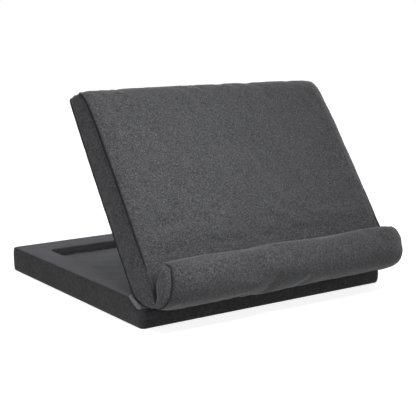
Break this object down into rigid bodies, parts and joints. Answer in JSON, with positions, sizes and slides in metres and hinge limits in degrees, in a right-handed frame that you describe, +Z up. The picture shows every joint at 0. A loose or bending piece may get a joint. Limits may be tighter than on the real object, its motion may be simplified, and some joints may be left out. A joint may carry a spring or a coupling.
{
  "type": "tablet cushion stand",
  "caption": "Padded stand for a tablet: a tilting cushion back with a front lip that holds the tablet's edge, on a flat cushioned base with a shallow tray.",
  "frame": {"origin": "middle of the base's flat underside", "axes": "+Z up, +X to the right seen from the front, the front with its lip faces -Y"},
  "size_m": [0.268, 0.29, 0.1887],
  "materials": {
    "cover_cloth": "heathered charcoal fleece",
    "side_cloth": "fine charcoal woven cloth",
    "rim_cloth": "smooth charcoal cloth",
    "tray_lining": "smooth satin-like grey lining",
    "foam": "open-cell foam",
    "board": "raw pressed board",
    "steel": "zinc plated",
    "nylon": "natural nylon"
  },
  "bodies": {
    "base": {"base_bottom_panel": "cover_cloth", "base_side_band": "side_cloth", "base_top_panel": "rim_cloth", "tray_wall_band": "tray_lining", "tray_floor_panel": "tray_lining", "base_foam_slab": "foam", "base_foam_frame": "foam", "base_board": "board", "base_hinge_leaf_left": "steel", "base_hinge_leaf_right": "steel", "base_screw_left_1": "steel", "base_screw_left_2": "steel", "base_screw_right_1": "steel", "base_screw_right_2": "steel", "hinge_pin_left": "steel", "hinge_pin_right": "steel", "friction_washer_left": "nylon", "friction_washer_right": "nylon", "lock_nut_left": "steel", "lock_nut_right": "steel"},
    "back": {"back_front_panel": "cover_cloth", "back_rear_panel": "side_cloth", "back_side_strip": "side_cloth", "back_foam_front": "foam", "back_foam_rear": "foam", "lip_foam_roll": "foam", "back_board": "board", "back_hinge_leaf_left": "steel", "back_hinge_leaf_right": "steel", "back_screw_left_1": "steel", "back_screw_left_2": "steel", "back_screw_right_1": "steel", "back_screw_right_2": "steel"}
  },
  "joints": [
    {"name": "back_tilt", "type": "hinge", "parent": "base", "child": "back", "pos_m": [0, -0.1173, 0.0443], "axis": [1, 0, 0], "range_deg": [-56, 20]}
  ]
}
